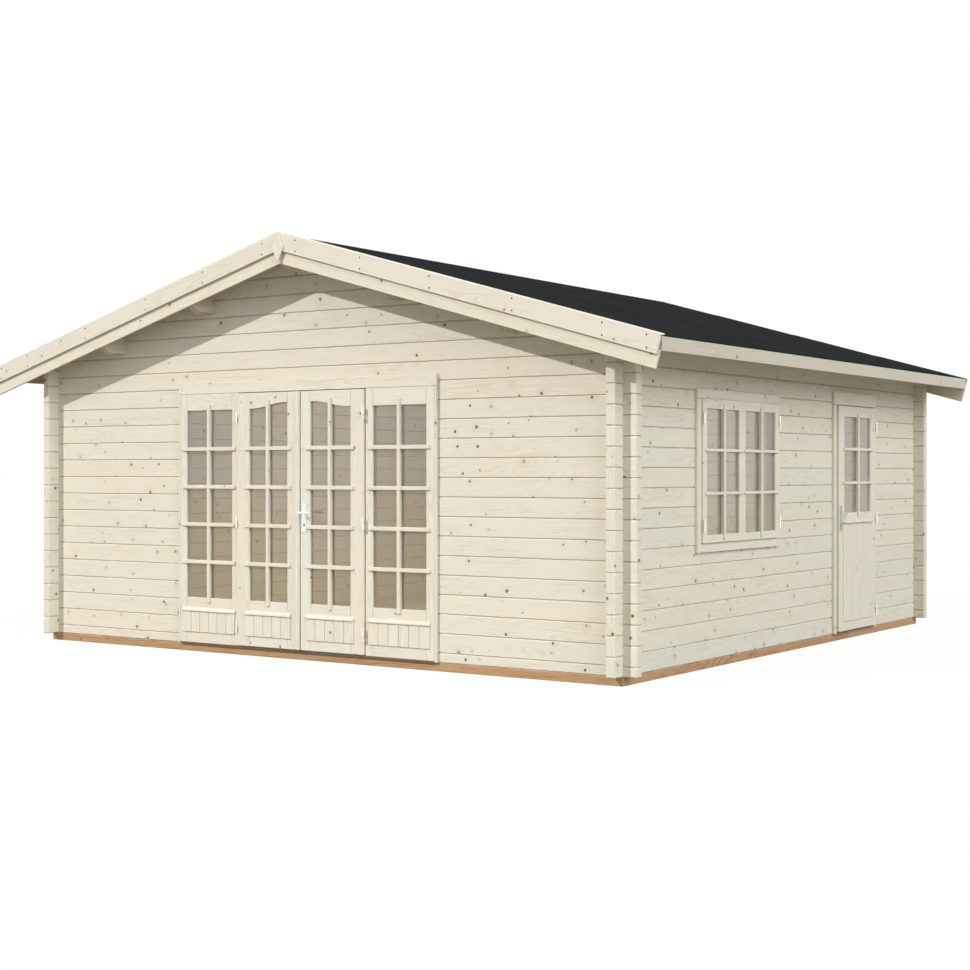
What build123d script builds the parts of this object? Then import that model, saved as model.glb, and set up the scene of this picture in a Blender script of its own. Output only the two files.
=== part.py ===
"""Log cabin with a low gable roof, a glazed double door in front and a window and a door in its right wall.

Millimetres, +Z up. The front faces -Y and the right wall faces +X. The origin is on the ground
at the middle of the whole outline, roof overhangs included.
"""
from build123d import *
from math import cos, radians, sin, tan
import os

# Walls of stacked logs that cross at the corners
wall_w = 5400.0
wall_l = 5400.0
log_t = 70.0
log_h = 135.0
log_end = 102.0
course_gap = 0.4
notch_gap = 0.5
lintel_courses = 14
eave_courses = 16
top_log_h = 100.0

# Base beams, joists and floor
base_h = 60.0
base_w = 90.0
joist_w = 45.0
joist_count = 6
floor_t = 18.0
floor_gap = 8.0

# Roof
pitch = 15.8
board_t = 18.0
felt_t = 6.0
eave_over = 410.0
front_over = 267.0
rear_over = 180.0
purlin_w = 60.0
purlin_d = 230.0
purlin_bevel = 57.0
purlin_step = 1000.0
ridge_purlin_d = 222.0
seat_gap = 0.3

# Barge boards, their caps, the apex plates and the eave boards
barge_t = 18.0
barge_drop = 188.0
lower_barge_h = 120.0
barge_step_h = 91.0
upper_barge_h = 125.0
barge_end = 420.0
lower_barge_out = 9.0
cap_t = 10.0
cap_w = 18.0
cap_end = 18.0
rear_barge_drop = 6.0
apex_plate_w = 108.0
apex_plate_h = 234.0
apex_plate_t = 12.0
fascia_t = 20.0
fascia_h = 91.0

# What all doors and windows share
casing_t = 25.0
leaf_proud = 17.0
leaf_t = 44.0
leaf_gap = 6.0
stop_gap = 5.0
stop_w = 21.0
stop_d = 26.0
glass_t = 5.0
glass_grip = 9.0
glass_gap = 0.3
glass_back = 16.0
threshold_h = 10.0
lap = 25.0

# Front door set: two leaves between two side lights
set_w = 2470.0
set_casing_w = 18.0
set_top = 2004.0
set_head_h = 84.0
head_lap = 19.0
pane_bottom = 358.0
pane_top = 1793.0
pane_rise = 44.0
leaf_edge = 605.0
meeting_x = 16.0
leaf_stile = 120.0
leaf_pane_w = 374.0
light_t = 58.0
light_outer_stile = 70.0
light_inner_stile = 66.0
meeting_strip_w = 38.0
meeting_strip_t = 15.0

# Window of the right wall
window_y = 1684.0
window_w = 1356.0
window_bottom = 759.0
window_top = 1904.0
window_casing_w = 50.0
window_sill_h = 65.0
window_head_h = 68.0
sash_stile = 60.0
sash_meeting_stile = 50.0
sash_bottom_rail = 58.0
sash_top_rail = 71.0
sash_gap = 4.0

# Door of the right wall
side_door_y = 3889.0
side_door_w = 905.0
side_door_top = 1980.0
side_casing_w = 52.0
side_head_h = 108.0
side_stile = 115.0
side_pane_bottom = 988.0
side_pane_top = 1776.0

# Hinges, lock plates and lever handles
barrel_r = 8.0
barrel_h = 89.0
barrel_off = 0.5
hinge_flap = 2.5
hinge_flap_w = 20.0
front_hinge_z = (156.0, 946.0, 1737.0)
side_hinge_z = (156.0, 932.0, 1708.0)
window_hinge_z = (946.0, 1698.0)
plate_w = 44.0
plate_h = 208.0
plate_t = 4.0
plate_z = 988.0
plate_inset = 37.0
lever_z = 1025.0
lever_l = 115.0
lever_r = 8.0
lever_reach = 52.0
side_lock_drop = 45.0
spindle_r = 4.0
spindle_gap = 1.0

# Worked out from the driving dimensions
front_edge = front_over + cap_w - barge_t
rear_edge = rear_over + cap_w - barge_t
y_front = -(front_edge + wall_l + rear_edge) / 2 + front_edge
y_rear = y_front + wall_l
x_side = wall_w / 2
tan_p = tan(radians(pitch))
cos_p = cos(radians(pitch))
sin_p = sin(radians(pitch))
wall_z = base_h
eave_z = wall_z + eave_courses * log_h + top_log_h
apex_z = eave_z + x_side * tan_p
barge_y = (y_front - front_over, y_rear + rear_over)
roof_y = (barge_y[0] + barge_t, barge_y[1] - barge_t)
frame_y = y_front - casing_t
leaf_y = frame_y - leaf_proud


def block(x, y, z):
    """A box between two limits along each axis."""
    size = (x[1] - x[0], y[1] - y[0], z[1] - z[0])
    return Pos(x[0], y[0], z[0]) * Box(*size, align=(Align.MIN, Align.MIN, Align.MIN))


def prism_y(points, y):
    """An outline in X and Z, drawn out along Y."""
    plane = Plane((0, y[1], 0), x_dir=(1, 0, 0), z_dir=(0, -1, 0))
    return extrude(plane * make_face(Polyline(*points, close=True)), y[1] - y[0])


def prism_x(points, x):
    """An outline in Y and Z, drawn out along X."""
    plane = Plane((x[0], 0, 0), x_dir=(0, 1, 0), z_dir=(1, 0, 0))
    return extrude(plane * make_face(Polyline(*points, close=True)), x[1] - x[0])


def save(name, shapes):
    """Writes all solids of the given shapes as one node."""
    solids = [solid for shape in shapes for solid in shape.solids()]
    export_step(solids[0] if len(solids) == 1 else Compound(solids), f"parts/{name}.step")


def roof_line(side, low, high, end, square=False):
    """Outline of a layer of one roof slope, from the ridge to its end, by its heights over the board underside."""
    back = (high - low) * sin_p if square else 0.0
    low_end = (end - back, apex_z + low / cos_p - (end - back) * tan_p)
    high_end = (end, apex_z + high / cos_p - end * tan_p)
    line = [(0, apex_z + low / cos_p), low_end, high_end, (0, apex_z + high / cos_p)]
    return [(side * x, z) for x, z in line]


def under_roof(part):
    """What is left of a part below the roof boards."""
    low = -wall_w
    line = [(-wall_w, low), (wall_w, low), (wall_w, apex_z - wall_w * tan_p), (0, apex_z)]
    line.append((-wall_w, apex_z - wall_w * tan_p))
    shifted = [(x, z - seat_gap / cos_p) for x, z in line]
    return part & prism_y(shifted, (-2 * wall_l, 2 * wall_l))


def purlin(side, row, gap=0.0):
    """A purlin square to its slope, its lower corners cut at both ends, or its seat where a gap is given."""
    y0, y1 = roof_y[0] + barge_t, roof_y[1] - barge_t
    if side == 0:
        half, depth = purlin_w / 2 + gap, ridge_purlin_d + gap
        top = [(half, -half * tan_p), (0, 0), (-half, -half * tan_p)]
        body = prism_y([(-half, -depth), (half, -depth)] + top, (y0, y1))
        place = Pos(0, 0, apex_z - (0 if gap else seat_gap))
    else:
        half, depth = purlin_w / 2 + gap, purlin_d + gap
        body = block((-half, half), (y0, y1), (-depth, gap))
        along = purlin_step * row
        place = Pos(side * along * cos_p, 0, apex_z - along * sin_p - (0 if gap else seat_gap))
        place = place * Rot(0, side * pitch, 0)
    if not gap:
        cut = purlin_bevel
        for y, inward in ((y0, 1), (y1, -1)):
            corner = [(y, -depth), (y + inward * cut, -depth), (y, -depth + cut)]
            body -= prism_x(corner, (-2 * half, 2 * half))
    return place * body


def notch(part, across, along, z, low=True, high=True):
    """Cuts the quarters of a log where another wall's logs cross it."""
    quarter = log_h / 4
    bands = []
    if low:
        bands.append((z[0] - 1, z[0] + quarter))
    if high:
        bands.append((z[1] - quarter, z[1] + 1))
    for band in bands:
        part -= block(across, along, band)
    return part


def log_along_x(x, y, z, crossings, low=True, high=True):
    """A log of the front or rear wall with its notches at the side walls."""
    part = block(x, y, z)
    for edge in crossings:
        span = (edge - notch_gap, edge + log_t + notch_gap)
        part = notch(part, span, (y[0] - 1, y[1] + 1), z, low, high)
    return part


def log_along_y(y, x, z, crossings, low=True, high=True):
    """A log of a side wall with its notches at the front and rear walls."""
    part = block(x, y, z)
    for edge in crossings:
        span = (edge - notch_gap, edge + log_t + notch_gap)
        part = notch(part, (x[0] - 1, x[1] + 1), span, z, low, high)
    return part


def end_wall_z(course):
    """Heights of a course of the front or rear wall, which starts with half a log."""
    low = wall_z if course == 0 else wall_z + (course - 0.5) * log_h
    return (low, wall_z + (course + 0.5) * log_h - course_gap)


def side_wall_z(course):
    """Heights of a course of a side wall."""
    return (wall_z + course * log_h, wall_z + (course + 1) * log_h - course_gap)


# Where the walls and their crossings lie
front_wall_y = (y_front, y_front + log_t)
rear_wall_y = (y_rear - log_t, y_rear)
left_wall_x = (-x_side, -x_side + log_t)
right_wall_x = (x_side - log_t, x_side)
side_crossings = (left_wall_x[0], right_wall_x[0])
end_crossings = (front_wall_y[0], rear_wall_y[0])
x_ends = (-x_side - log_end, x_side + log_end)
y_ends = (y_front - log_end, y_rear + log_end)

# Openings in the walls
set_open = set_w / 2 - set_casing_w + notch_gap
set_open_top = wall_z + set_top - head_lap
window_open = (y_front + window_y - window_w / 2 + lap, y_front + window_y + window_w / 2 - lap)
window_open_z = (wall_z + window_bottom + lap, wall_z + lintel_courses * log_h)
side_open = (y_front + side_door_y - side_door_w / 2 + lap, y_front + side_door_y + side_door_w / 2 - lap)


def end_wall_courses(y, courses, x=x_ends, crossings=side_crossings):
    """Courses of the front or rear wall between two ends."""
    logs = []
    for course in courses:
        z = end_wall_z(course)
        logs.append(log_along_x(x, y, z, crossings, low=course > 0))
    return logs


def gable(y):
    """The logs over the eaves, cut to both slopes and round the purlins."""
    inner = x_side - log_t - notch_gap
    seats = [purlin(0, 0, notch_gap)]
    seats += [purlin(side, row, notch_gap) for side in (-1, 1) for row in (1, 2)]
    logs = []
    course = eave_courses + 1
    while end_wall_z(course)[0] < apex_z - log_h / 4:
        part = under_roof(block((-inner, inner), y, end_wall_z(course)))
        for seat in seats:
            part -= seat
        logs.append(part)
        course += 1
    return logs


def side_wall_top(x):
    """The uppermost log of a side wall, planed to the roof slope."""
    z = (side_wall_z(eave_courses)[0], eave_z + log_t * tan_p + 1)
    return under_roof(log_along_y(y_ends, x, z, end_crossings, high=False))


def plain_side_wall(x):
    """A side wall with no opening."""
    logs = [log_along_y(y_ends, x, side_wall_z(n), end_crossings) for n in range(eave_courses)]
    return logs + [side_wall_top(x)]


def right_wall_parts():
    """The right wall, split beside and over its window and door."""
    parts = {"right_wall_lower": [], "right_wall_front": [], "right_wall_middle": []}
    parts["right_wall_rear"] = []
    parts["right_wall_top"] = []
    x = right_wall_x
    sill_courses = int((window_open_z[0] - wall_z) // log_h) + 1
    low_y = (y_ends[0], side_open[0])
    front_y = (y_ends[0], window_open[0])
    middle_y = (window_open[1], side_open[0])
    rear_y = (side_open[1], y_ends[1])
    for course in range(lintel_courses):
        z = side_wall_z(course)
        if course < sill_courses:
            part = log_along_y(low_y, x, z, end_crossings[:1])
            part -= block((x[0] - 1, x[1] + 1), window_open, window_open_z)
            parts["right_wall_lower"].append(part)
        else:
            parts["right_wall_front"].append(log_along_y(front_y, x, z, end_crossings[:1]))
            parts["right_wall_middle"].append(block(x, middle_y, z))
        parts["right_wall_rear"].append(log_along_y(rear_y, x, z, end_crossings[1:]))
    for course in range(lintel_courses, eave_courses):
        parts["right_wall_top"].append(log_along_y(y_ends, x, side_wall_z(course), end_crossings))
    parts["right_wall_top"].append(side_wall_top(x))
    return parts


def front_wall_parts():
    """The front wall beside and over its doors."""
    y = front_wall_y
    under = int((set_open_top - wall_z) // log_h + 0.5)
    left = end_wall_courses(y, range(under), (x_ends[0], -set_open), side_crossings[:1])
    right = end_wall_courses(y, range(under), (set_open, x_ends[1]), side_crossings[1:])
    top = end_wall_courses(y, range(under, eave_courses + 1))
    hole = block((-set_open, set_open), (y[0] - 1, y[1] + 1), (wall_z, set_open_top))
    return {"front_wall_left": left, "front_wall_right": right, "front_wall_top": [log - hole for log in top]}


def base_parts():
    """Base beams under the walls, and the joists and boards of the floor."""
    z = (0, base_h)
    inner = x_side - base_w
    beams = [block((-x_side, x_side), (y_front, y_front + base_w), z)]
    beams.append(block((-x_side, x_side), (y_rear - base_w, y_rear), z))
    side_y = (y_front + base_w + course_gap, y_rear - base_w - course_gap)
    beams.append(block((-x_side, -inner), side_y, z))
    beams.append(block((inner, x_side), side_y, z))
    joists = []
    step = (side_y[1] - side_y[0]) / (joist_count + 1)
    for number in range(1, joist_count + 1):
        middle = side_y[0] + number * step
        span = (-inner + course_gap, inner - course_gap)
        joists.append(block(span, (middle - joist_w / 2, middle + joist_w / 2), z))
    edge = log_t + floor_gap
    board_x = (-x_side + edge, x_side - edge)
    floor = block(board_x, (y_front + edge, y_rear - edge), (base_h + seat_gap, base_h + floor_t))
    return {"base_beams": beams, "floor_joists": joists, "floor_boards": [floor]}


def roof_parts():
    """Boards, felt, purlins, barge boards with their caps, apex plates and eave boards."""
    parts = {"ridge_purlin": [purlin(0, 0)]}
    parts["left_purlins"] = [purlin(-1, row) for row in (1, 2)]
    parts["right_purlins"] = [purlin(1, row) for row in (1, 2)]
    end = x_side + eave_over
    fascia_x = (end - fascia_t, end)
    fascia_top = apex_z + board_t / cos_p - end * tan_p
    parts["eave_boards"] = []
    for side, word in ((-1, "left"), (1, "right")):
        boards = roof_line(side, 0, board_t, fascia_x[0] - seat_gap)
        felt = roof_line(side, board_t + seat_gap, board_t + seat_gap + felt_t, end)
        parts[f"{word}_roof_boards"] = [prism_y(boards, (roof_y[0] + seat_gap, roof_y[1] - seat_gap))]
        parts[f"{word}_roof_felt"] = [prism_y(felt, (roof_y[0] + seat_gap, roof_y[1] - seat_gap))]
        x = sorted(side * value for value in fascia_x)
        fascia = block(x, (roof_y[0] + barge_t + seat_gap, roof_y[1] - barge_t - seat_gap),
                       (fascia_top - fascia_h, fascia_top))
        parts["eave_boards"].append(fascia)
    return parts


def barge_parts():
    """The stepped barge boards of both gables, with caps on the front ones only."""
    parts = {"barge_caps": [], "apex_plates": []}
    low = -barge_drop
    upper = (low + barge_step_h, low + barge_step_h + upper_barge_h)
    for word, face, inward in (("front", barge_y[0], 1), ("rear", barge_y[1], -1)):
        faces = [face + inward * barge_t * number for number in range(3)]
        outer = sorted(faces[:2])
        inner = sorted(faces[1:])
        cap_y = sorted((faces[1], faces[1] - inward * cap_w))
        plate_y = sorted((face, face - inward * apex_plate_t))
        upper_top = upper[1] if word == "front" else upper[1] - rear_barge_drop
        parts[f"{word}_lower_barges"] = []
        parts[f"{word}_upper_barges"] = []
        for side in (-1, 1):
            end = x_side + barge_end
            lower_end = end - (upper[1] - low - lower_barge_h) * sin_p + lower_barge_out
            line = roof_line(side, low, low + lower_barge_h, lower_end, square=True)
            parts[f"{word}_lower_barges"].append(prism_y(line, inner))
            line = roof_line(side, upper[0], upper_top, end, square=True)
            parts[f"{word}_upper_barges"].append(prism_y(line, outer))
            if word == "front":
                line = roof_line(side, upper[1] + seat_gap, upper[1] + cap_t, end + cap_end, square=True)
                parts["barge_caps"].append(prism_y(line, cap_y))
        top = apex_z + (upper_top + (cap_t if word == "front" else 0.0)) / cos_p
        half = apex_plate_w / 2
        waist = top - apex_plate_h / 2
        plate = [(0, top), (half, waist), (0, top - apex_plate_h), (-half, waist)]
        parts["apex_plates"].append(prism_y(plate, plate_y))
    return parts


def pane(width, height, place):
    """A pane of glass in its own plane, which stands up and faces -Y."""
    grip = glass_grip - glass_gap
    x0, z0 = place[0] - grip, place[1] - grip
    depth = (glass_back, glass_back + glass_t)
    return block((x0, x0 + width + 2 * grip), depth, (z0, z0 + height + 2 * grip))


def pane_hole(width, height, place, rise=0.0, climb=1):
    """The opening of a glazed frame with the groove that grips its pane.

    Where rise is given, the top of the opening climbs in two equal arcs to the right or the left.
    """
    x0, z0 = place
    x1, z1 = x0 + width, z0 + height
    groove_z = (z0 - glass_grip, z1 + rise + glass_grip)
    groove_y = (glass_back - glass_gap, glass_back + glass_t + glass_gap)
    groove = block((x0 - glass_grip, x1 + glass_grip), groove_y, groove_z)
    if not rise:
        return block((x0, x1), (-leaf_t, 3 * leaf_t), (z0, z1)) + groove
    low, high = (x0, x1) if climb > 0 else (x1, x0)
    radius = (width ** 2 / 4 + rise ** 2 / 4) / rise
    middle = (low + high) / 2
    quarter = width / 4
    sag = radius - (radius ** 2 - quarter ** 2) ** 0.5
    first = ThreePointArc((low, z1), (low + climb * quarter, z1 + sag), (middle, z1 + rise / 2))
    second = ThreePointArc((middle, z1 + rise / 2), (high - climb * quarter, z1 + rise - sag), (high, z1 + rise))
    sides = Polyline((high, z1 + rise), (high, z0), (low, z0), (low, z1))
    plane = Plane((0, 3 * leaf_t, 0), x_dir=(1, 0, 0), z_dir=(0, -1, 0))
    return extrude(plane * make_face(Curve() + [first, second, sides]), 4 * leaf_t) + groove


def front_door_parts():
    """The front door set: casing, threshold, side lights and the two leaves."""
    parts = {}
    half = set_w / 2
    unit = half - set_casing_w
    sill = wall_z + threshold_h
    head = wall_z + set_top - set_head_h
    casing_y = (frame_y, y_front - seat_gap)
    casing = [block((-half, -unit - seat_gap), casing_y, (wall_z + seat_gap, head - seat_gap))]
    casing.append(block((unit + seat_gap, half), casing_y, (wall_z + seat_gap, head - seat_gap)))
    board = block((-half, half), casing_y, (head, wall_z + set_top))
    beam = block((-unit, unit), (casing_y[0], y_front + log_t), (head, set_open_top - seat_gap))
    stop_y = (leaf_y + leaf_t + stop_gap, leaf_y + leaf_t + stop_gap + stop_d)
    stop_x = leaf_edge + leaf_gap - stop_w
    stop = block((-stop_x, stop_x), stop_y, (head - stop_w, head))
    casing.append(board + beam + stop)
    parts["front_door_frame"] = casing
    light_y = (frame_y, frame_y + light_t)
    inner = leaf_edge + leaf_gap
    pane_h = pane_top - pane_bottom
    pane_z = wall_z + pane_bottom
    glass = []
    for side, word in ((-1, "left"), (1, "right")):
        x = sorted((side * inner, side * unit))
        x_pane = x[0] + (light_inner_stile if side > 0 else light_outer_stile)
        width = unit - inner - light_inner_stile - light_outer_stile
        light = block(x, light_y, (sill + seat_gap, head - seat_gap))
        light -= Pos(0, frame_y, 0) * pane_hole(width, pane_h, (x_pane, pane_z))
        stop = block(sorted((side * stop_x, side * inner)), stop_y, (sill + seat_gap, head - stop_w - seat_gap))
        parts[f"{word}_side_light"] = [light + stop]
        glass.append(Pos(0, frame_y, 0) * pane(width, pane_h, (x_pane, pane_z)))
    parts["side_light_glass"] = glass
    leaf_z = (sill + leaf_gap, head - leaf_gap)
    edges = {"left": (-leaf_edge, meeting_x - leaf_gap / 2), "right": (meeting_x + leaf_gap / 2, leaf_edge)}
    for word, x in edges.items():
        climb = 1 if word == "left" else -1
        x_pane = -leaf_edge + leaf_stile if word == "left" else leaf_edge - leaf_stile - leaf_pane_w
        leaf = block(x, (leaf_y, leaf_y + leaf_t), leaf_z)
        leaf -= Pos(0, leaf_y, 0) * pane_hole(leaf_pane_w, pane_h, (x_pane, pane_z), pane_rise, climb)
        if word == "right":
            leaf -= spindle_hole_y(x[0] + plate_inset)
        parts[f"{word}_leaf"] = [leaf]
        parts[f"{word}_leaf_glass"] = [Pos(0, leaf_y, 0) * pane(leaf_pane_w, pane_h + pane_rise, (x_pane, pane_z))]
    strip_x = (edges["left"][1] - meeting_strip_w, edges["left"][1])
    parts["meeting_strip"] = [block(strip_x, (leaf_y - meeting_strip_t, leaf_y - seat_gap), leaf_z)]
    parts["front_lock_plates"], parts["front_lever"] = lock_parts(edges["right"][0] + plate_inset)
    return parts


def spindle_hole_y(x, drop=0.0):
    """The hole for a lever's spindle, through a leaf that faces -Y, lower than usual by drop."""
    hole = Cylinder(spindle_r + spindle_gap, 4 * leaf_t, rotation=(90, 0, 0))
    return Pos(x, leaf_y, wall_z + lever_z - drop) * hole


def lock_parts(x, drop=0.0):
    """Lock plates on both faces of a leaf that faces -Y, and the spindle with its two levers."""
    faces = (leaf_y, leaf_y + leaf_t)
    z_plate = wall_z + plate_z - drop
    z_lever = wall_z + lever_z - drop
    plates = []
    for face, out in ((faces[0], -1), (faces[1], 1)):
        y = sorted((face + out * seat_gap, face + out * (seat_gap + plate_t)))
        z = (z_plate - plate_h / 2, z_plate + plate_h / 2)
        plate = block((x - plate_w / 2, x + plate_w / 2), y, z)
        plates.append(plate - spindle_hole_y(x, drop))
    reach = lever_reach + plate_t
    centre = Pos(x, (faces[0] + faces[1]) / 2, z_lever)
    lever = centre * Cylinder(spindle_r, leaf_t + 2 * reach, rotation=(90, 0, 0))
    for face, out in ((faces[0], -1), (faces[1], 1)):
        y_bar = face + out * reach
        y_neck = sorted((face + out * (plate_t + 1.5), y_bar))
        neck = Cylinder(lever_r, y_neck[1] - y_neck[0], rotation=(90, 0, 0))
        lever += Pos(x, (y_neck[0] + y_neck[1]) / 2, z_lever) * neck
        bar = Cylinder(lever_r, lever_l, rotation=(0, 90, 0))
        lever += Pos(x + lever_l / 2 - lever_r, y_bar, z_lever) * bar
    return plates, [lever]


def to_right_wall(shapes):
    """Turns parts made at the front wall, with X from the front corner, so that they stand in the right wall."""
    place = Pos(x_side, y_front, 0) * Rot(0, 0, 90) * Pos(0, -y_front, 0)
    return [place * shape for shape in shapes]


def window_parts():
    """The window of the right wall, made as if it faced -Y, with X from the front corner."""
    half = window_w / 2
    x = (window_y - half, window_y + half)
    z = (wall_z + window_bottom, wall_z + window_top)
    casing_y = (frame_y, y_front - seat_gap)
    open_x = (x[0] + lap + seat_gap, x[1] - lap - seat_gap)
    open_z = (z[0] + lap + seat_gap, wall_z + lintel_courses * log_h - seat_gap)
    inner_x = (x[0] + window_casing_w, x[1] - window_casing_w)
    inner_z = (z[0] + window_sill_h, z[1] - window_head_h)
    ring = block(x, casing_y, z) + block(open_x, (frame_y, y_front + log_t), open_z)
    ring -= block(inner_x, (frame_y - 1, y_front + log_t + 1), inner_z)
    sashes = []
    glass = []
    width = (inner_x[1] - inner_x[0] - sash_gap) / 2 - seat_gap
    for number in range(2):
        x0 = inner_x[0] + seat_gap + number * (width + sash_gap)
        stiles = (sash_stile, sash_meeting_stile) if number == 0 else (sash_meeting_stile, sash_stile)
        pane_w = width - stiles[0] - stiles[1]
        pane_h = inner_z[1] - inner_z[0] - 2 * seat_gap - sash_bottom_rail - sash_top_rail
        corner = (x0 + stiles[0], inner_z[0] + seat_gap + sash_bottom_rail)
        sash = block((x0, x0 + width), (leaf_y, leaf_y + leaf_t), (inner_z[0] + seat_gap, inner_z[1] - seat_gap))
        sashes.append(sash - Pos(0, leaf_y, 0) * pane_hole(pane_w, pane_h, corner))
        glass.append(Pos(0, leaf_y, 0) * pane(pane_w, pane_h, corner))
    barrels = []
    for side, edge in ((-1, inner_x[0]), (1, inner_x[1])):
        for height in window_hinge_z:
            place = Pos(edge, frame_y - leaf_proud - barrel_r - barrel_off, wall_z + height)
            barrels.append(place * Cylinder(barrel_r, barrel_h))
            flap_x = sorted((edge - side * barrel_r, edge))
            barrels[-1] += block(flap_x, (leaf_y - barrel_off - barrel_r, leaf_y - seat_gap),
                                 (wall_z + height - barrel_h / 2, wall_z + height + barrel_h / 2))
    names = ("window_frame", "window_sashes", "window_glass", "window_hinges")
    return dict(zip(names, map(to_right_wall, ([ring], sashes, glass, barrels))))


def side_door_parts():
    """The door of the right wall, made as if it faced -Y, with X from the front corner."""
    half = side_door_w / 2
    x = (side_door_y - half, side_door_y + half)
    head = wall_z + side_door_top - side_head_h
    casing_y = (frame_y, y_front - seat_gap)
    leaf_x = (x[0] + side_casing_w, x[1] - side_casing_w)
    post_x = (leaf_x[0] - leaf_gap, leaf_x[1] + leaf_gap)
    open_x = (x[0] + lap + seat_gap, x[1] - lap - seat_gap)
    open_top = wall_z + lintel_courses * log_h - seat_gap
    ring = block(x, casing_y, (wall_z + seat_gap, wall_z + side_door_top))
    ring += block(open_x, (frame_y, y_front + log_t), (wall_z + seat_gap, open_top))
    ring -= block(post_x, (frame_y - 1, y_front + log_t + 1), (wall_z - 1, head))
    stop_y = (leaf_y + leaf_t + stop_gap, leaf_y + leaf_t + stop_gap + stop_d)
    stop_x = (post_x[0] + stop_w, post_x[1] - stop_w)
    sill = wall_z + threshold_h
    stops = block(post_x, stop_y, (sill + seat_gap, head))
    stops -= block(stop_x, (stop_y[0] - 1, stop_y[1] + 1), (sill - 1, head - stop_w))
    leaf_z = (sill + leaf_gap, head - leaf_gap)
    pane_w = leaf_x[1] - leaf_x[0] - 2 * side_stile
    corner = (leaf_x[0] + side_stile, wall_z + side_pane_bottom)
    pane_h = side_pane_top - side_pane_bottom
    leaf = block(leaf_x, (leaf_y, leaf_y + leaf_t), leaf_z)
    leaf -= Pos(0, leaf_y, 0) * pane_hole(pane_w, pane_h, corner)
    leaf -= spindle_hole_y(leaf_x[0] + plate_inset, side_lock_drop)
    glass = Pos(0, leaf_y, 0) * pane(pane_w, pane_h, corner)
    plates, lever = lock_parts(leaf_x[0] + plate_inset, side_lock_drop)
    names = ("side_door_frame", "side_door", "side_door_glass", "side_lock_plates", "side_lever")
    return dict(zip(names, map(to_right_wall, ([ring + stops], [leaf], [glass], plates, lever))))


def threshold_parts():
    """The metal strips on the base beams under both doors."""
    half = set_w / 2 - set_casing_w
    z = (wall_z + seat_gap, wall_z + threshold_h)
    front = block((-half, half), (frame_y, y_front + log_t), z)
    x = (side_door_y - side_door_w / 2 + side_casing_w - leaf_gap + seat_gap,
         side_door_y + side_door_w / 2 - side_casing_w + leaf_gap - seat_gap)
    side = block(x, (frame_y, y_front + log_t), z)
    return {"thresholds": [front] + to_right_wall([side])}


def knuckles(edge, out, heights):
    """The two halves of barrel hinges at the edge of a leaf that faces -Y: on the frame and on the leaf.

    The axis lies in the middle of the gap beside the leaf, in front of its face.
    """
    x = edge + out * leaf_gap / 2
    y = leaf_y - barrel_r - barrel_off
    half = barrel_h / 2
    fixed, moving = [], []
    for height in heights:
        z = wall_z + height
        low = Pos(x, y, z - half / 2 - seat_gap / 2) * Cylinder(barrel_r, half - seat_gap)
        arm_x = sorted((x + out * 2, x + out * barrel_r))
        arm = block(arm_x, (y, frame_y - seat_gap), (z - half, z - seat_gap))
        fixed.append(low + arm)
        high = Pos(x, y, z + half / 2 + seat_gap / 2) * Cylinder(barrel_r, half - seat_gap)
        flap_x = sorted((x, edge - out * hinge_flap_w))
        flap = block(flap_x, (leaf_y - seat_gap - hinge_flap, leaf_y - seat_gap), (z + seat_gap, z + half))
        moving.append(high + flap)
    return fixed, moving


def hinge_parts():
    """Barrel hinges of the three leaves."""
    left_fixed, left = knuckles(-leaf_edge, -1, front_hinge_z)
    right_fixed, right = knuckles(leaf_edge, 1, front_hinge_z)
    edge = side_door_y + side_door_w / 2 - side_casing_w
    side_fixed, side = knuckles(edge, 1, side_hinge_z)
    parts = {"frame_knuckles": left_fixed + right_fixed + to_right_wall(side_fixed)}
    parts["left_leaf_knuckles"] = left
    parts["right_leaf_knuckles"] = right
    parts["side_door_knuckles"] = to_right_wall(side)
    return parts


os.makedirs("parts", exist_ok=True)
nodes = {}
nodes.update(base_parts())
nodes.update(front_wall_parts())
nodes["front_gable"] = gable(front_wall_y)
nodes["rear_wall"] = end_wall_courses(rear_wall_y, range(eave_courses + 1))
nodes["rear_gable"] = gable(rear_wall_y)
nodes["left_wall"] = plain_side_wall(left_wall_x)
nodes.update(right_wall_parts())
nodes.update(roof_parts())
nodes.update(barge_parts())
nodes.update(front_door_parts())
nodes.update(window_parts())
nodes.update(side_door_parts())
nodes.update(threshold_parts())
nodes.update(hinge_parts())
for name, shapes in nodes.items():
    save(name, shapes)
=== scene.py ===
"""A log cabin dressed for looks: planed pine, felt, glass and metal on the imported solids. Metres, +Z up.

The front faces -Y and the right wall faces +X. The sections follow the cabin as it is put together.
"""
from math import atan, cos, pi, radians, sin, tan

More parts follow.
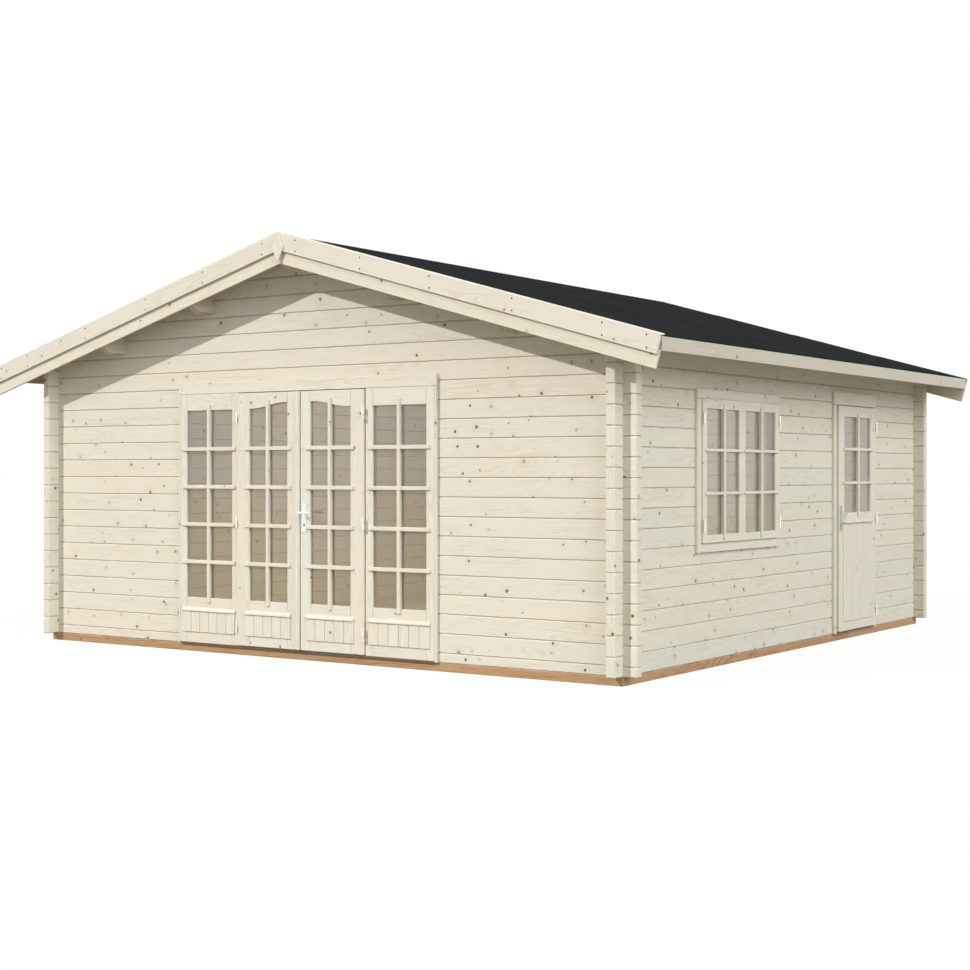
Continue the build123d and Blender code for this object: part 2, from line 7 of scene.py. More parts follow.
import bpy
import numpy as np
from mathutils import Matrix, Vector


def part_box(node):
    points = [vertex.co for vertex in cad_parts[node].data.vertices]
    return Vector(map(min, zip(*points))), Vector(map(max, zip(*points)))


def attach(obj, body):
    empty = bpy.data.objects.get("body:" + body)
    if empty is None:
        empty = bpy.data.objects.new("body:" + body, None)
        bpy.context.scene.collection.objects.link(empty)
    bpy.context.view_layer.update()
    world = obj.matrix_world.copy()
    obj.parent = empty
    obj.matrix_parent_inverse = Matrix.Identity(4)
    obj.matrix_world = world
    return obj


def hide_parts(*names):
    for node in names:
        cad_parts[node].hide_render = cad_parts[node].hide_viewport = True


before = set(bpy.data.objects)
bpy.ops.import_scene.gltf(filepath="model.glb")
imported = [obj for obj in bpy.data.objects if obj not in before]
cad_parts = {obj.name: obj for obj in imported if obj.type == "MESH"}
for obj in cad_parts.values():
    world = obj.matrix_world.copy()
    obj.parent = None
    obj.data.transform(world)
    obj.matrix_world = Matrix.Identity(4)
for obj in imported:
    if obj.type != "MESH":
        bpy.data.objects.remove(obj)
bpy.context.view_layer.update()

# Base beams: four pressure-treated squared timbers that lie flat on the ground under the walls.
# Spruce stained orange-brown by its treatment, sawn square, butted at the corners and nailed.
beam_w = 0.090
beam_edge = 0.003
beam_pale = (0.480, 0.285, 0.142)
beam_warm = (0.415, 0.240, 0.118)
beam_dark = (0.305, 0.155, 0.068)
beam_knot = (0.190, 0.085, 0.035)
late_wood = (0.480, 0.380, 0.270)
knot_brown = (0.095, 0.058, 0.036)
# Brown of the painted shade laid on timber faces that look down
painted_shade_brown = (0.255, 0.160, 0.080)
rubbed_edge = (0.800, 0.770, 0.690)


def skins(rings, along, axis, numbers):
    """Closed skins round several bars at once, each a section carried along one axis of the frame.

    rings[n, r, k] are the corners of bar n's section at its ring r, on the next two axes in turn, and along[n, r]
    is where that ring lies. A wall quad joins corner k and k + 1 of ring r with those of ring r + 1, and the first
    and last ring are closed by a cap. Each corner also gets its place in the timber: its way along the bar, its way
    round the section from corner 0, and the bar's own number. Sides under a third of the middling one are cut edges.
    """
    bars, steps, corners, _ = rings.shape
    points = np.empty((bars, steps, corners, 3))
    points[..., axis] = along[:, :, None]
    points[..., (axis + 1) % 3] = rings[..., 0]
    points[..., (axis + 2) % 3] = rings[..., 1]
    index = np.arange(bars * steps * corners).reshape(bars, steps, corners)
    ahead = np.roll(index, -1, axis=2)
    quads = np.stack([index[:, :-1], ahead[:, :-1], ahead[:, 1:], index[:, 1:]], axis=-1).reshape(-1, 4)
    caps = np.concatenate([index[:, 0, ::-1], index[:, -1]])
    sides = np.linalg.norm(np.roll(rings, -1, axis=2) - rings, axis=-1).max(axis=1)
    girth = np.concatenate([np.zeros((bars, 1)), np.cumsum(sides, axis=1)], axis=1)
    first, second = girth[:, None, :-1], girth[:, None, 1:]
    run = along[:, :, None] + np.zeros((1, 1, corners))
    turn = np.zeros(run[:, :-1].shape)
    own = numbers[:, None, None] + turn
    wall = [(run[:, :-1], first + turn), (run[:, :-1], second + turn), (run[:, 1:], second + turn)]
    wall.append((run[:, 1:], first + turn))
    wall_place = np.stack([np.stack([u, v, own], axis=-1) for u, v in wall], axis=-2).reshape(-1, 3)
    narrow = sides < np.median(sides, axis=1, keepdims=True) / 3
    cut = np.broadcast_to(narrow[:, None, :, None], (bars, steps - 1, corners, 4)).reshape(-1)
    end_rings = np.concatenate([rings[:, 0, ::-1], rings[:, -1]])
    end_numbers = np.concatenate([numbers, numbers])[:, None, None] + 0.5 + np.zeros((1, corners, 1))
    cap_place = np.concatenate([end_rings, end_numbers], axis=-1).reshape(-1, 3)
    return points.reshape(-1, 3), quads, caps, wall_place, cap_place, cut.astype(float)


def row(x, y, z, grain):
    """A row for boards: how far it reaches along X, Y and Z, and the axis of its grain."""
    return (x[0], y[0], z[0]), (x[1], y[1], z[1]), grain


def boards(rows, edge, seed):
    """Planed boards. Each row is a low corner, a high corner and the axis of the grain, 0, 1 or 2.

    The section is a rectangle with each corner cut off at 45 degrees by edge. Four rings carry it along the grain,
    and the outer two are drawn in by edge, so that the ends are eased as the long edges are.
    """
    low = np.array([np.minimum(a, b) for a, b, _ in rows], float)
    high = np.array([np.maximum(a, b) for a, b, _ in rows], float)
    grain = np.array([axis for _, _, axis in rows])
    numbers = np.random.default_rng(seed).uniform(0, 60, len(rows))
    made = []
    for axis in np.unique(grain):
        mine = grain == axis
        across = [(axis + 1) % 3, (axis + 2) % 3]
        half = ((high - low) / 2)[mine][:, None, across]
        middle = ((high + low) / 2)[mine][:, None, None, across]
        inset = np.array([edge, 0, 0, edge])[None, :, None]
        a, b = (half - inset)[..., 0], (half - inset)[..., 1]
        side = np.stack([a, a, a - edge, edge - a, -a, -a, edge - a, a - edge], axis=-1)
        rise = np.stack([edge - b, b - edge, b, b, b - edge, edge - b, -b, -b], axis=-1)
        start, end = low[mine][:, axis], high[mine][:, axis]
        along = np.stack([start, start + edge, end - edge, end], axis=-1)
        made.append(skins(np.stack([side, rise], axis=-1) + middle, along, axis, numbers[mine]))
    return made


def piece(name, made, finish, replaced=(), move=None, body="building"):
    """One mesh of all the given skins, moved into place as whole arrays, with its place in the timber kept."""
    points, faces, places, edges, base = [], [], [], [], 0
    for corners, quads, caps, wall_place, cap_place, cut in made:
        points.append(corners)
        faces += (quads + base).tolist() + (caps + base).tolist()
        places += [wall_place, cap_place]
        edges += [cut, np.zeros(len(cap_place))]
        base += len(corners)
    points = np.concatenate(points)
    if move:
        points = move(points)
    mesh = bpy.data.meshes.new(name)
    mesh.from_pydata(points.tolist(), [], faces)
    place = mesh.attributes.new("timber_place", "FLOAT_VECTOR", "CORNER")
    place.data.foreach_set("vector", np.concatenate(places).astype(np.float32).ravel())
    cut_edges = mesh.attributes.new("cut_edge", "FLOAT", "CORNER")
    cut_edges.data.foreach_set("value", np.concatenate(edges).astype(np.float32))
    mesh.materials.append(finish)
    made_piece = bpy.data.objects.new(name, mesh)
    bpy.context.scene.collection.objects.link(made_piece)
    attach(made_piece, body)
    if replaced:
        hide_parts(*replaced)


def node(tree, kind, *inputs, **settings):
    """A shader node with its settings, and its inputs in order: a value, a socket to link, or None to leave."""
    made = tree.nodes.new("ShaderNode" + kind)
    for key, value in settings.items():
        setattr(made, key, value)
    for number, value in enumerate(inputs):
        if isinstance(value, bpy.types.NodeSocket):
            tree.links.new(value, made.inputs[number])
        elif value is not None:
            made.inputs[number].default_value = value
    return made


def maths(tree, operation, *inputs):
    """The output of one Math node."""
    return node(tree, "Math", *inputs, operation=operation).outputs[0]


def times(tree, *inputs):
    """Two values multiplied."""
    return maths(tree, "MULTIPLY", *inputs)


def plus(tree, *inputs):
    """Two values added."""
    return maths(tree, "ADD", *inputs)


def graded(tree, value, low, high, to_low=0.0, to_high=1.0):
    """A value taken smoothly from one range to another."""
    made = node(tree, "MapRange", value, low, high, to_low, to_high, interpolation_type="SMOOTHSTEP")
    return made.outputs[0]


def mixed(tree, share, first, second):
    """Two colours mixed by a share from 0 to 1."""
    made = tree.nodes.new("ShaderNodeMix")
    made.data_type = "RGBA"
    for number, value in ((0, share), (6, first), (7, second)):
        if isinstance(value, bpy.types.NodeSocket):
            tree.links.new(value, made.inputs[number])
        else:
            made.inputs[number].default_value = value if number == 0 else (*value, 1)
    return made.outputs[2]


def surface(name):
    """A new material, its node tree and its Principled shader."""
    made = bpy.data.materials.new(name)
    made.use_nodes = True
    return made, made.node_tree, made.node_tree.nodes["Principled BSDF"]


def raised(tree, shader, height, strength, distance):
    """Gives a shader the bumps of a height that changes over the surface."""
    bump = node(tree, "Bump", strength, distance)
    tree.links.new(height, bump.inputs["Height"])
    tree.links.new(bump.outputs[0], shader.inputs["Normal"])


def group(name, inputs, outputs):
    """An empty shader node group with float inputs, except Place, and outputs by name."""
    tree = bpy.data.node_groups.new(name, "ShaderNodeTree")
    for label, value in inputs.items():
        kind = "NodeSocketVector" if value is None else "NodeSocketFloat"
        socket = tree.interface.new_socket(label, in_out="INPUT", socket_type=kind)
        if value is not None:
            socket.default_value = value
    for label in outputs:
        tree.interface.new_socket(label, in_out="OUTPUT", socket_type="NodeSocketFloat")
    return tree, tree.nodes.new("NodeGroupInput").outputs, tree.nodes.new("NodeGroupOutput").inputs


# The figure of softwood: contour lines of a noise stretched along the grain, fine pores, and knots that bend them
softwood, given, result = group("softwood_figure", {"Place": None, "Knots per Metre": 4.5, "Knot Radius": 0.009},
                                ["Figure", "Pores", "Knots", "Rings", "Tone", "Patches", "Streaks"])
parts = node(softwood, "SeparateXYZ", given["Place"]).outputs
along = plus(softwood, parts[0], times(softwood, parts[2], 3.17))
across = plus(softwood, parts[1], times(softwood, parts[2], 1.37))


def stretched_noise(by_length, by_width, detail, roughness):
    """A noise over the timber, with its place taken times one scale along the grain and another across it."""
    place = node(softwood, "CombineXYZ", times(softwood, along, by_length), times(softwood, across, by_width), parts[2])
    return node(softwood, "TexNoise", place.outputs[0], None, 1.0, detail, roughness).outputs[0]


knot_place = node(softwood, "CombineXYZ", along, across, 0.0).outputs[0]
cells = node(softwood, "TexVoronoi", knot_place, None, given["Knots per Metre"], voronoi_dimensions="2D")
away = maths(softwood, "DIVIDE", cells.outputs["Distance"], given["Knots per Metre"])
chance = node(softwood, "SeparateColor", cells.outputs["Color"]).outputs
size = times(softwood, graded(softwood, chance[0], 0.30, 1.0, 0.0, 1.35), given["Knot Radius"])
knot = graded(softwood, away, times(softwood, size, 1.15), times(softwood, size, 0.55))
near = graded(softwood, away, times(softwood, size, 5.0), 0.0)
bent = plus(softwood, stretched_noise(0.55, 5.5, 2.0, 0.45), times(softwood, near, 0.16))
wave = maths(softwood, "SINE", times(softwood, bent, 170.0))
knot_depth = graded(softwood, chance[1], 0.0, 0.8, 0.45, 1.0)
masks = {"Figure": graded(softwood, wave, -0.2, 1.0), "Pores": stretched_noise(5.0, 210.0, 2.0, 0.6),
         "Knots": times(softwood, knot, knot_depth), "Rings": times(softwood, near, chance[2]),
         "Tone": node(softwood, "TexWhiteNoise", None, parts[2], noise_dimensions="1D").outputs[0],
         "Patches": graded(softwood, stretched_noise(1.1, 6.0, 1.0, 0.5), 0.35, 0.70),
         "Streaks": stretched_noise(4.0, 70.0, 2.0, 0.6)}
for label, mask in masks.items():
    softwood.links.new(mask, result[label])

# Wear and painted shade that all timber shares: painted shade on faces that look down, as under the lip of a joint, and
# rubbed cut edges
wear_and_shade, given, result = group("timber_wear_and_shade", {"Place": None}, ["Under", "Rubbed"])
looks = node(wear_and_shade, "SeparateXYZ", node(wear_and_shade, "TexCoord").outputs["Normal"]).outputs
# Painted shade: 1 where the face's normal looks down
wear_and_shade.links.new(graded(wear_and_shade, looks[2], -0.35, -0.60), result["Under"])
rub = node(wear_and_shade, "TexNoise", given["Place"], None, 9.0, 2.0, 0.6).outputs[0]
edge_here = node(wear_and_shade, "Attribute", attribute_name="cut_edge").outputs["Fac"]
wear_and_shade.links.new(times(wear_and_shade, edge_here, graded(wear_and_shade, rub, 0.35, 0.65)), result["Rubbed"])


def timber_place(tree):
    """The place in the timber that a new piece keeps at each of its corners."""
    return node(tree, "Attribute", attribute_name="timber_place").outputs["Vector"]


def timber(name, pale, warm, dark=late_wood, knots=knot_brown, figure=0.35, per_metre=4.5, radius=0.009, under_shade=0.6,
           place=timber_place):
    """Softwood: pale and warm boards in turn, darker late wood, brown knots, and a planed surface that feels them."""
    made, tree, shader = surface(name)
    where = place(tree)
    grain = node(tree, "Group", where, per_metre, radius, node_tree=softwood).outputs
    worn_and_shaded = node(tree, "Group", where, node_tree=wear_and_shade).outputs
    board = mixed(tree, grain["Tone"], pale, warm)
    colour = mixed(tree, times(tree, grain["Figure"], times(tree, grain["Patches"], figure)), board, dark)
    colour = mixed(tree, graded(tree, grain["Pores"], 0.50, 0.85, 0.0, figure * 0.7), colour, dark)
    colour = mixed(tree, graded(tree, grain["Streaks"], 0.48, 0.80, 0.0, figure), colour, dark)
    colour = mixed(tree, graded(tree, grain["Streaks"], 0.50, 0.24, 0.0, 0.35), colour, pale)
    # The last mix lays painted shade on the faces that look down
    for mask, share, stain in ((grain["Rings"], 0.30, dark), (grain["Knots"], 0.92, knots),
                               (worn_and_shaded["Rubbed"], 0.5, rubbed_edge), (worn_and_shaded["Under"], under_shade, painted_shade_brown)):
        colour = mixed(tree, times(tree, mask, share), colour, stain)
    tree.links.new(colour, shader.inputs["Base Color"])
    gloss = plus(tree, graded(tree, grain["Pores"], 0.2, 0.8, 0.56, 0.72), times(tree, grain["Knots"], -0.18))
    tree.links.new(plus(tree, gloss, times(tree, worn_and_shaded["Rubbed"], 0.12)), shader.inputs["Roughness"])
    relief = plus(tree, times(tree, grain["Pores"], 0.5), times(tree, grain["Figure"], 0.3))
    raised(tree, shader, maths(tree, "SUBTRACT", relief, grain["Knots"]), 0.35, 0.0004)
    shader.inputs["Specular IOR Level"].default_value = 0.35
    return made


beam_low, beam_high = (np.array(corner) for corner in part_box("base_beams"))
beam_end = np.array([0, beam_w, 0])
stained_beam = timber("stained_beam", beam_pale, beam_warm, beam_dark, beam_knot, figure=0.85, per_metre=6.0)
inner_low, inner_high = beam_low + beam_end, beam_high - beam_end
rows = [(beam_low, (beam_high[0], inner_low[1], beam_high[2]), 0)]
rows.append(((beam_low[0], inner_high[1], beam_low[2]), beam_high, 0))
rows.append((inner_low, (beam_low[0] + beam_w, inner_high[1], beam_high[2]), 1))
rows.append(((beam_high[0] - beam_w, inner_low[1], beam_low[2]), inner_high, 1))
piece("base_timbers", boards(rows, beam_edge, 1), stained_beam, ["base_beams"])

# Floor: six sawn joists between the base beams, with planed tongued boards nailed across them.
# Spruce. The boards run from side to side, and their eased edges leave a fine line at every joint.
joist_w = 0.045
joist_count = 6
joist_edge = 0.002
floor_board_w = 0.115
floor_board_edge = 0.0015
board_joint = 0.0004


def laid(low, high, axis, step, width, count):
    """Rows of boards side by side along X or Y, their grain along the other: board n starts n steps from low."""
    rows = []
    for n in range(count):
        start, end = list(low), list(high)
        start[axis] = low[axis] + n * step
        end[axis] = start[axis] + width
        rows.append((start, end, 1 - axis))
    return rows


low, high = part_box("floor_joists")
rows = laid(low, high, 1, (high.y - low.y - joist_w) / (joist_count - 1), joist_w, joist_count)
piece("joists", boards(rows, joist_edge, 2), stained_beam, ["floor_joists"])
floor_pine = timber("floor_pine", (0.66, 0.52, 0.36), (0.60, 0.45, 0.30), (0.44, 0.29, 0.16), (0.16, 0.075, 0.035))
low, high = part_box("floor_boards")
count = round((high.x - low.x) / floor_board_w)
step = (high.x - low.x) / count
rows = laid(low, high, 0, step, step - board_joint, count)
piece("floor_planks", boards(rows, floor_board_edge, 3), floor_pine, ["floor_boards"])

# Walls: planed pine logs, 70 mm thick, stacked tongue in groove in courses that cross at the corners.
# The edges are cut back, so each joint is a small V: its upper side lies in shade and its lower side takes the sun.
log_t = 0.070
log_h = 0.135
log_gap = 0.0004
log_edge = 0.0062
log_end = 0.102
wall_x = 2.700
wall_low = 0.060
wall_y = (-2.6565, 2.7435)
eave_courses = 16
lintel = 14
top_log_h = 0.100
head_lap = 0.019
sill_lap = 0.025
roof_board_t = 0.018
pitch = radians(15.8)
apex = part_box("left_roof_boards")[1].z - roof_board_t / cos(pitch)
log_pale = (0.660, 0.634, 0.548)
log_warm = (0.690, 0.628, 0.530)
end_log_x = (-wall_x - log_end, wall_x + log_end)
side_log_y = (wall_y[0] - log_end, wall_y[1] + log_end)
# Its faces that look down, the upper side of each joint among them, carry painted shade
log_pine = timber("log_pine", log_pale, log_warm, figure=0.24, per_metre=6.3, radius=0.0105, under_shade=0.55)


def end_course(course):
    """Heights of a course of the front or rear wall, whose first course is half a log."""
    low_z = wall_low if course == 0 else wall_low + (course - 0.5) * log_h
    return low_z, wall_low + (course + 0.5) * log_h - log_gap


def side_course(course):
    """Heights of a course of a side wall."""
    return wall_low + course * log_h, wall_low + (course + 1) * log_h - log_gap


def end_logs(face, courses, x=end_log_x):
    """Logs along X between two ends, with their outer face at the given Y."""
    inward = log_t if face < 0 else -log_t
    return [((x[0], face, end_course(n)[0]), (x[1], face + inward, end_course(n)[1]), 0) for n in courses]


def side_logs(face, courses, y=side_log_y):
    """Logs along Y between two ends, with their outer face at the given X."""
    inward = log_t if face < 0 else -log_t
    return [((face, y[0], side_course(n)[0]), (face + inward, y[1], side_course(n)[1]), 1) for n in courses]


def gable_cut(points):
    """Takes the ends of gable logs back to the roof: |x| is at most (apex - z) / tan(pitch)."""
    height = np.minimum(points[:, 2], apex - 0.002)
    reach = (apex - 0.001 - height) / tan(pitch)
    return np.stack([np.clip(points[:, 0], -reach, reach), points[:, 1], height], axis=-1)


def planed_top(points):
    """Planes the uppermost side log to the roof: z is at most apex - |x| tan(pitch)."""
    roof = apex - 0.0005 - np.abs(points[:, 0]) * tan(pitch)
    return np.stack([points[:, 0], points[:, 1], np.minimum(points[:, 2], roof)], axis=-1)


def wall_piece(name, rows, seed, replaced, move=None):
    """A stack of logs in place of a node of the walls."""
    piece(name, boards(rows, log_edge, seed), log_pine, [replaced], move)


set_half = -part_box("front_wall_left")[1].x
set_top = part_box("front_door_frame")[1].z
lintel_low = set_top - head_lap
split = int((set_top - wall_low) // log_h)
split_z = end_course(split)
front_y = (wall_y[0], wall_y[0] + log_t)
top_rows = end_logs(wall_y[0], range(split, eave_courses + 1))
top_rows[0] = row((end_log_x[0], -set_half), front_y, split_z, 0)
top_rows.append(row((set_half, end_log_x[1]), front_y, split_z, 0))
top_rows.append(row((-set_half, set_half), front_y, (lintel_low, split_z[1]), 0))
wall_piece("front_logs_left", end_logs(wall_y[0], range(split), (end_log_x[0], -set_half)), 4, "front_wall_left")
wall_piece("front_logs_right", end_logs(wall_y[0], range(split), (set_half, end_log_x[1])), 5, "front_wall_right")
wall_piece("front_logs_top", top_rows, 6, "front_wall_top")
wall_piece("rear_logs", end_logs(wall_y[1], range(eave_courses + 1)), 7, "rear_wall")
gable_x = (log_t - wall_x, wall_x - log_t)
gable_courses = range(eave_courses + 1, int((apex - wall_low) / log_h + 0.5) + 1)
for word, face, seed in (("front", wall_y[0], 8), ("rear", wall_y[1], 9)):
    rows = end_logs(face, gable_courses, gable_x)
    points, quads, caps, wall_place, cap_place, cut = boards(rows, log_edge, seed)[0]
    points = gable_cut(points)
    wall_place[:, 0] = points[quads.ravel(), 0]
    logs = [(points, quads, caps, wall_place, cap_place, cut)]
    piece(f"{word}_gable_logs", logs, log_pine, [f"{word}_gable"])
top_low = side_course(eave_courses)[0]
top_z = (top_low, top_low + top_log_h + log_t * tan(pitch))
left_top = row((-wall_x, log_t - wall_x), side_log_y, top_z, 1)
wall_piece("left_logs", side_logs(-wall_x, range(eave_courses)) + [left_top], 10, "left_wall", planed_top)
window_cut = (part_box("right_wall_front")[1].y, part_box("right_wall_middle")[0].y)
door_cut = (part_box("right_wall_middle")[1].y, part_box("right_wall_rear")[0].y)
before_window = (side_log_y[0], window_cut[0])
after_window = (window_cut[1], door_cut[0])
window_cut_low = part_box("window_frame")[0].z + sill_lap
sill = int((window_cut_low - wall_low) // log_h)
lower = side_logs(wall_x, range(sill), (side_log_y[0], door_cut[0]))
lower += side_logs(wall_x, [sill], before_window) + side_logs(wall_x, [sill], after_window)
lower.append(row((wall_x - log_t, wall_x), window_cut, (side_course(sill)[0], window_cut_low), 1))
wall_piece("right_logs_lower", lower, 11, "right_wall_lower")
between = range(sill + 1, lintel)
wall_piece("right_logs_front", side_logs(wall_x, between, before_window), 12, "right_wall_front")
wall_piece("right_logs_middle", side_logs(wall_x, between, after_window), 13, "right_wall_middle")
wall_piece("right_logs_rear", side_logs(wall_x, range(lintel), (door_cut[1], side_log_y[1])), 14, "right_wall_rear")
upper = side_logs(wall_x, range(lintel, eave_courses))
upper.append(row((wall_x - log_t, wall_x), side_log_y, top_z, 1))
wall_piece("right_logs_top", upper, 15, "right_wall_top", planed_top)

# Purlins: five squared pine beams from gable to gable, let into the gable logs under the roof boards.
# Their lower corners are sawn off at both ends. The solids keep their shape, and their edges are eased.
purlin_edge = 0.003


def object_parts(tree):
    """X, Y and Z of a place on the object."""
    return node(tree, "SeparateXYZ", node(tree, "TexCoord").outputs["Object"]).outputs


def lengthwise_place(tree):
    """The place in a timber that runs along Y: Y, then X and Z together, and a number from how far out it lies."""
    seen = object_parts(tree)
    number = maths(tree, "FLOOR", plus(tree, times(tree, seen[0], 1.3), 20.5))
    return node(tree, "CombineXYZ", seen[1], plus(tree, seen[0], seen[2]), number).outputs[0]


def ease(name, edge):
    """Eases the edges of a solid that stays: its corners are welded, and a bevel of that width is cut."""
    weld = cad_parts[name].modifiers.new("weld", "WELD")
    weld.merge_threshold = 0.00005
    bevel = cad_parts[name].modifiers.new("eased", "BEVEL")
    bevel.width = edge
    bevel.segments = 1
    bevel.limit_method = "ANGLE"
    bevel.angle_limit = radians(35)


def finish_nodes(names, material):
    """Gives solids that stay their material."""
    for name in names:
        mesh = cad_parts[name].data
        mesh.materials.clear()
        mesh.materials.append(material)


purlin_pine = timber("purlin_pine", (0.670, 0.630, 0.530), (0.650, 0.590, 0.480), per_metre=5.5, radius=0.014,
                     place=lengthwise_place)
purlins = ["ridge_purlin", "left_purlins", "right_purlins"]
finish_nodes(purlins, purlin_pine)
for name in purlins:
    ease(name, purlin_edge)

# Roof boards: thin tongued pine boards nailed down each slope from the ridge to the eave.
# Their undersides show at the eaves and from the room, with an eased joint every 113 mm.
roof_board_w = 0.113
roof_board_edge = 0.0025
ridge_gap = 0.004
roof_pine = timber("roof_pine", (0.540, 0.480, 0.360), (0.500, 0.430, 0.310), (0.390, 0.300, 0.190))


def down_slope(side):
    """Lays flat boards on a slope: x runs down it from the ridge, and z is the height off its underside."""
    def lay(points):
        x = points[:, 0] * cos(pitch) + points[:, 2] * sin(pitch)
        z = apex - points[:, 0] * sin(pitch) + points[:, 2] * cos(pitch)
        return np.stack([side * x, points[:, 1], z], axis=-1)
    return lay


def mirrored(made, side):
    """Turns the faces of skins that are about to be mirrored, so that they still point outwards."""
    if side > 0:
        return made
    corners = made[0][2].shape[1]
    turned = []
    for points, quads, caps, wall_place, cap_place, cut in made:
        wall_place = wall_place.reshape(-1, 4, 3)[:, ::-1].reshape(-1, 3)
        cap_place = cap_place.reshape(-1, corners, 3)[:, ::-1].reshape(-1, 3)
        turned.append((points, quads[:, ::-1], caps[:, ::-1], wall_place, cap_place, cut))
    return turned


for side, word, seed in ((-1, "left", 16), (1, "right", 17)):
    low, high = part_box(f"{word}_roof_boards")
    run = (max(abs(low.x), abs(high.x)) - roof_board_t * sin(pitch)) / cos(pitch)
    count = round((high.y - low.y) / roof_board_w)
    step = (high.y - low.y) / count
    rows = laid((ridge_gap, low.y, 0), (run, high.y, roof_board_t), 1, step, step - board_joint, count)
    slope = mirrored(boards(rows, roof_board_edge, seed), side)
    piece(f"{word}_roof_planks", slope, roof_pine, [f"{word}_roof_boards"], down_slope(side))

# Roof felt: strips of mineral felt laid along the cabin from the eave up, each lapping the one below, and nailed.
# Nearly black blue-grey, with fine sand in its face that makes it rough.
felt_strip = 0.860
felt_low_t = 0.0030
felt_high_t = 0.0060
felt_seat = 0.0003
felt_least = 0.300
felt_blue = (0.0036, 0.0051, 0.0059)
felt_pale = (0.0065, 0.0085, 0.0095)
felt_sand = (0.015, 0.018, 0.019)


def felt_surface():
    """Sanded felt: patches of wear, lanes along each strip, and grains of sand under two millimetres."""
    made, tree, shader = surface("sanded_felt")
    seen = node(tree, "TexCoord").outputs["Object"]
    lengthwise = node(tree, "Mapping", seen, None, None, (9.0, 0.5, 9.0)).outputs[0]
    lanes = graded(tree, node(tree, "TexNoise", lengthwise, None, 1.0, 3.0).outputs[0], 0.35, 0.75)
    patches = node(tree, "TexNoise", seen, None, 2.2, 4.0, 0.6).outputs[0]
    sand = node(tree, "TexNoise", seen, None, 620.0, 1.0, 0.6).outputs[0]
    colour = mixed(tree, times(tree, lanes, graded(tree, patches, 0.3, 0.7)), felt_blue, felt_pale)
    colour = mixed(tree, graded(tree, sand, 0.55, 0.75, 0.0, 0.5), colour, felt_sand)
    tree.links.new(colour, shader.inputs["Base Color"])
    tree.links.new(graded(tree, patches, 0.2, 0.8, 0.80, 0.95), shader.inputs["Roughness"])
    raised(tree, shader, sand, 0.6, 0.0012)
    shader.inputs["Specular IOR Level"].default_value = 0.03
    return made


sanded_felt = felt_surface()
for side, word in ((-1, "left"), (1, "right")):
    low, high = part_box(f"{word}_roof_felt")
    bottom = roof_board_t + felt_seat
    run = max(abs(low.x), abs(high.x)) / cos(pitch) - (bottom + felt_high_t) * tan(pitch)
    laps = np.arange(run, felt_least, -felt_strip)
    tops = [(lap, bottom + felt_high_t) for lap in laps]
    tops += [(max(lap - felt_strip, 0.0), bottom + felt_low_t) for lap in laps]
    order = sorted(tops, key=lambda point: (-point[0], -point[1]))
    outline = np.array([(0.0, bottom), (run, bottom)] + order)
    section = np.stack([outline[:, 1], outline[:, 0]], axis=-1)[::-1]
    rings = np.stack([section, section])[None]
    ends = np.array([[low.y, high.y]])
    strips = mirrored([skins(rings, ends, 1, np.zeros(1))], side)
    piece(f"{word}_felt_strips", strips, sanded_felt, [f"{word}_roof_felt"], down_slope(side))

# Barge boards: two planed boards in steps along each gable slope, a thin cap on top and a diamond plate at the apex.
# The cap's paler pine is a painted highlight along the top edge.
# Clear pine with few knots, nailed to the roof boards and the purlin ends.
barge_edge = 0.002


def slope_place(tree):
    """The place in a board on a slope: down the slope, across it, and a number from its side and its gable."""
    seen = object_parts(tree)
    out = maths(tree, "ABSOLUTE", seen[0])
    down = maths(tree, "SUBTRACT", times(tree, out, cos(pitch)), times(tree, seen[2], sin(pitch)))
    over = plus(tree, times(tree, out, sin(pitch)), times(tree, seen[2], cos(pitch)))
    sides = plus(tree, maths(tree, "SIGN", seen[0]), times(tree, maths(tree, "SIGN", seen[1]), 3.0))
    return node(tree, "CombineXYZ", down, plus(tree, over, seen[1]), plus(tree, sides, 11.0)).outputs[0]


def upright_place(tree):
    """The place in a board that stands upright and faces -Y or +Y: its height, and then X and Y together."""
    seen = object_parts(tree)
    return node(tree, "CombineXYZ", seen[2], plus(tree, seen[0], seen[1]), maths(tree, "SIGN", seen[1])).outputs[0]


barge_pine = timber("barge_pine", (0.683, 0.641, 0.566), (0.674, 0.619, 0.534), (0.540, 0.430, 0.320),
                    radius=0.010, place=slope_place)
plate_pine = timber("plate_pine", (0.700, 0.655, 0.560), (0.690, 0.640, 0.545), (0.540, 0.430, 0.310),
                    radius=0.010, place=upright_place)
shaded_pine = timber("shaded_pine", (0.690, 0.650, 0.545), (0.675, 0.625, 0.520), (0.540, 0.430, 0.310),
                     per_metre=5.5, radius=0.011, place=slope_place)
# Paler than the barge pine: a painted highlight on the cap
cap_pine_painted_highlight = timber("cap_pine_painted_highlight", (0.840, 0.810, 0.750), (0.830, 0.795, 0.725), figure=0.20, per_metre=2.0,
                  place=slope_place)
lower_barges = ["front_lower_barges", "rear_lower_barges"]
upper_barges = ["front_upper_barges", "rear_upper_barges"]
finish_nodes(lower_barges, shaded_pine)
finish_nodes(upper_barges, barge_pine)
finish_nodes(["barge_caps"], cap_pine_painted_highlight)
finish_nodes(["apex_plates"], plate_pine)
for name in lower_barges + upper_barges + ["apex_plates"]:
    ease(name, barge_edge)

